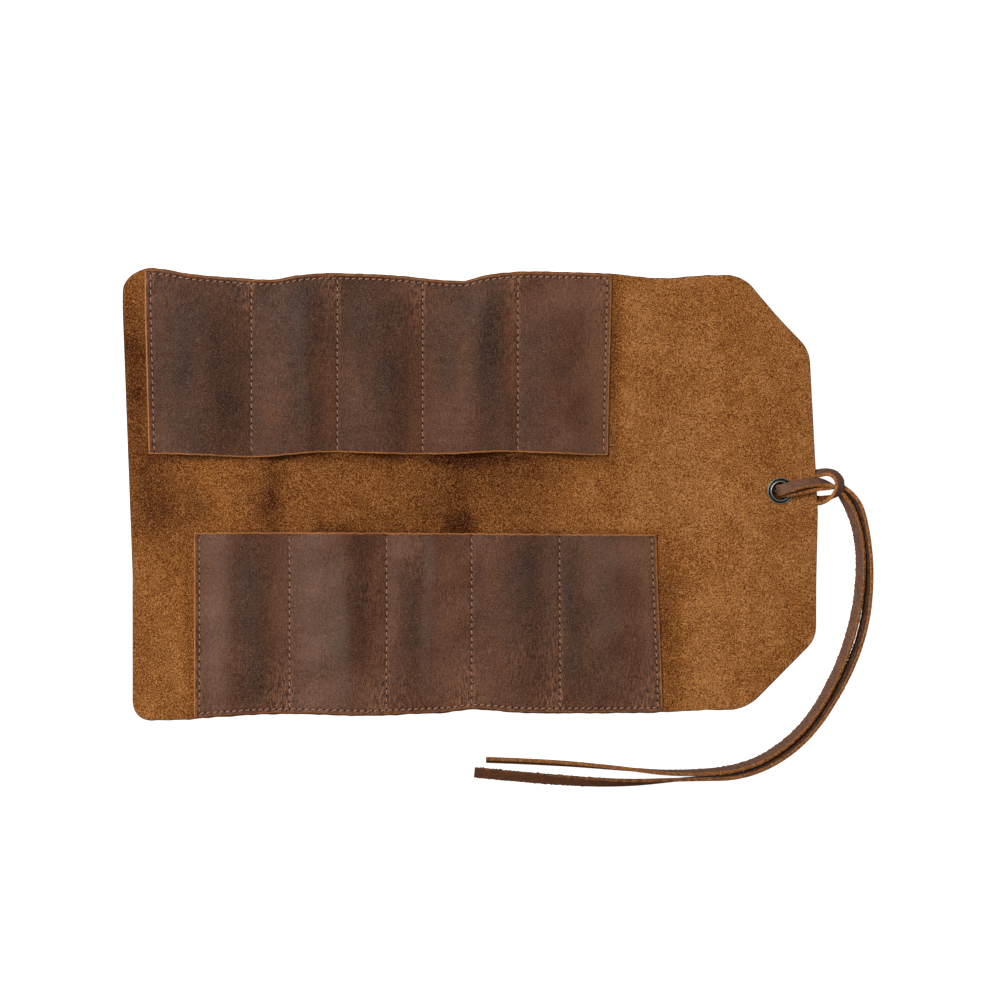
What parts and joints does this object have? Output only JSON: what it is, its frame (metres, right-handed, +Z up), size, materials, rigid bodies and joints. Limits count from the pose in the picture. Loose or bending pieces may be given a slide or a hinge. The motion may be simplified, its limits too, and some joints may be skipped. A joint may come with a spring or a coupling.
{
  "type": "brush roll case",
  "caption": "Flat leather brush and tool roll with two rows of sewn pockets, a cut-cornered flap and a lace tie through an eyelet.",
  "frame": {"origin": "on the table, below the middle of the open case (without its lace)", "axes": "+X along the case towards the flap and its eyelet, +Y across the case towards the far edge, +Z up, out of the suede side"},
  "size_m": [0.4257, 0.2882, 0.0109],
  "materials": {
    "backing_leather": "suede flesh side up, waxed grain below",
    "pocket_leather": "oiled pull-up grain, semi-matte",
    "thread": "waxed twisted thread",
    "eyelet_metal": "antique blackened, worn bright on its rims",
    "lace_leather": "dark grain face with light raw cut edges"
  },
  "bodies": {
    "strip_01": {"backing_strip_01": "backing_leather", "stitching_01": "thread", "upper_pocket_front_01": "pocket_leather"},
    "strip_02": {"backing_strip_02": "backing_leather", "lower_pocket_front_02": "pocket_leather", "stitching_02": "thread", "upper_pocket_front_02": "pocket_leather"},
    "strip_03": {"backing_strip_03": "backing_leather", "lower_pocket_front_03": "pocket_leather", "stitching_03": "thread", "upper_pocket_front_03": "pocket_leather"},
    "strip_04": {"backing_strip_04": "backing_leather", "lower_pocket_front_04": "pocket_leather", "stitching_04": "thread", "upper_pocket_front_04": "pocket_leather"},
    "strip_05": {"backing_strip_05": "backing_leather", "lower_pocket_front_05": "pocket_leather", "stitching_05": "thread", "upper_pocket_front_05": "pocket_leather"},
    "strip_06": {"backing_strip_06": "backing_leather", "lower_pocket_front_06": "pocket_leather", "stitching_06": "thread", "upper_pocket_front_06": "pocket_leather"},
    "strip_07": {"backing_strip_07": "backing_leather", "lower_pocket_front_07": "pocket_leather", "stitching_07": "thread", "upper_pocket_front_07": "pocket_leather"},
    "strip_08": {"backing_strip_08": "backing_leather", "lower_pocket_front_08": "pocket_leather", "stitching_08": "thread", "upper_pocket_front_08": "pocket_leather"},
    "strip_09": {"backing_strip_09": "backing_leather", "lower_pocket_front_09": "pocket_leather", "stitching_09": "thread", "upper_pocket_front_09": "pocket_leather"},
    "strip_10": {"backing_strip_10": "backing_leather", "lower_pocket_front_10": "pocket_leather", "stitching_10": "thread", "upper_pocket_front_10": "pocket_leather"},
    "strip_11": {"backing_strip_11": "backing_leather", "lower_pocket_front_11": "pocket_leather", "stitching_11": "thread", "upper_pocket_front_11": "pocket_leather"},
    "strip_12": {"backing_strip_12": "backing_leather", "lower_pocket_front_12": "pocket_leather", "stitching_12": "thread"},
    "strip_13": {"backing_strip_13": "backing_leather"},
    "strip_14": {"backing_strip_14": "backing_leather"},
    "flap": {"backing_strip_15": "backing_leather", "eyelet": "eyelet_metal", "eyelet_washer": "eyelet_metal", "lace_strands": "lace_leather", "lace_bight": "lace_leather"},
    "tie": {"lace_tail_inner": "lace_leather", "lace_tail_outer": "lace_leather"}
  },
  "joints": [
    {"name": "roll_up", "type": "hinge", "parent": "flap", "child": "strip_14", "pos_m": [0.16, 0, 0.0054], "axis": [0, 1, 0], "range_deg": [0, 24.82]},
    {"name": "fold_13", "type": "hinge", "parent": "strip_14", "child": "strip_13", "pos_m": [0.135, 0, 0.002], "axis": [0, 1, 0], "range_deg": [0, 31.66]},
    {"name": "fold_12", "type": "hinge", "parent": "strip_13", "child": "strip_12", "pos_m": [0.1104, 0, 0.002], "axis": [0, 1, 0], "range_deg": [0, 34.43]},
    {"name": "fold_11", "type": "hinge", "parent": "strip_12", "child": "strip_11", "pos_m": [0.0826, 0, 0.002], "axis": [0, 1, 0], "range_deg": [0, 38.17]},
    {"name": "fold_10", "type": "hinge", "parent": "strip_11", "child": "strip_10", "pos_m": [0.0543, 0, 0.002], "axis": [0, 1, 0], "range_deg": [0, 36.91]},
    {"name": "fold_09", "type": "hinge", "parent": "strip_10", "child": "strip_09", "pos_m": [0.0304, 0, 0.002], "axis": [0, 1, 0], "range_deg": [0, 36.6]},
    {"name": "fold_08", "type": "hinge", "parent": "strip_09", "child": "strip_08", "pos_m": [0.0043, 0, 0.002], "axis": [0, 1, 0], "range_deg": [0, 41.1]},
    {"name": "fold_07", "type": "hinge", "parent": "strip_08", "child": "strip_07", "pos_m": [-0.0235, 0, 0.002], "axis": [0, 1, 0], "range_deg": [0, 38.55]},
    {"name": "fold_06", "type": "hinge", "parent": "strip_07", "child": "strip_06", "pos_m": [-0.0439, 0, 0.002], "axis": [0, 1, 0], "range_deg": [0, 40.04]},
    {"name": "fold_05", "type": "hinge", "parent": "strip_06", "child": "strip_05", "pos_m": [-0.0717, 0, 0.002], "axis": [0, 1, 0], "range_deg": [0, 48.37]},
    {"name": "fold_04", "type": "hinge", "parent": "strip_05", "child": "strip_04", "pos_m": [-0.0989, 0, 0.002], "axis": [0, 1, 0], "range_deg": [0, 45.71]},
    {"name": "fold_03", "type": "hinge", "parent": "strip_04", "child": "strip_03", "pos_m": [-0.1205, 0, 0.002], "axis": [0, 1, 0], "range_deg": [0, 51.72]},
    {"name": "fold_02", "type": "hinge", "parent": "strip_03", "child": "strip_02", "pos_m": [-0.1511, 0, 0.002], "axis": [0, 1, 0], "range_deg": [0, 62.82]},
    {"name": "fold_01", "type": "hinge", "parent": "strip_02", "child": "strip_01", "pos_m": [-0.1783, 0, 0.002], "axis": [0, 1, 0], "range_deg": [0, 54.93]},
    {"name": "tie_swing", "type": "hinge", "parent": "flap", "child": "tie", "pos_m": [0.2115, -0.001, 0.002], "axis": [0, 0, 1], "range_deg": [0, 75]}
  ],
  "couplings": [
    {"joint": "fold_01", "follows": "roll_up", "ratio": 2.2123},
    {"joint": "fold_02", "follows": "roll_up", "ratio": 2.53},
    {"joint": "fold_03", "follows": "roll_up", "ratio": 2.0831},
    {"joint": "fold_04", "follows": "roll_up", "ratio": 1.8408},
    {"joint": "fold_05", "follows": "roll_up", "ratio": 1.9481},
    {"joint": "fold_06", "follows": "roll_up", "ratio": 1.6126},
    {"joint": "fold_07", "follows": "roll_up", "ratio": 1.5523},
    {"joint": "fold_08", "follows": "roll_up", "ratio": 1.6552},
    {"joint": "fold_09", "follows": "roll_up", "ratio": 1.4738},
    {"joint": "fold_10", "follows": "roll_up", "ratio": 1.4862},
    {"joint": "fold_11", "follows": "roll_up", "ratio": 1.5373},
    {"joint": "fold_12", "follows": "roll_up", "ratio": 1.3866},
    {"joint": "fold_13", "follows": "roll_up", "ratio": 1.275}
  ]
}
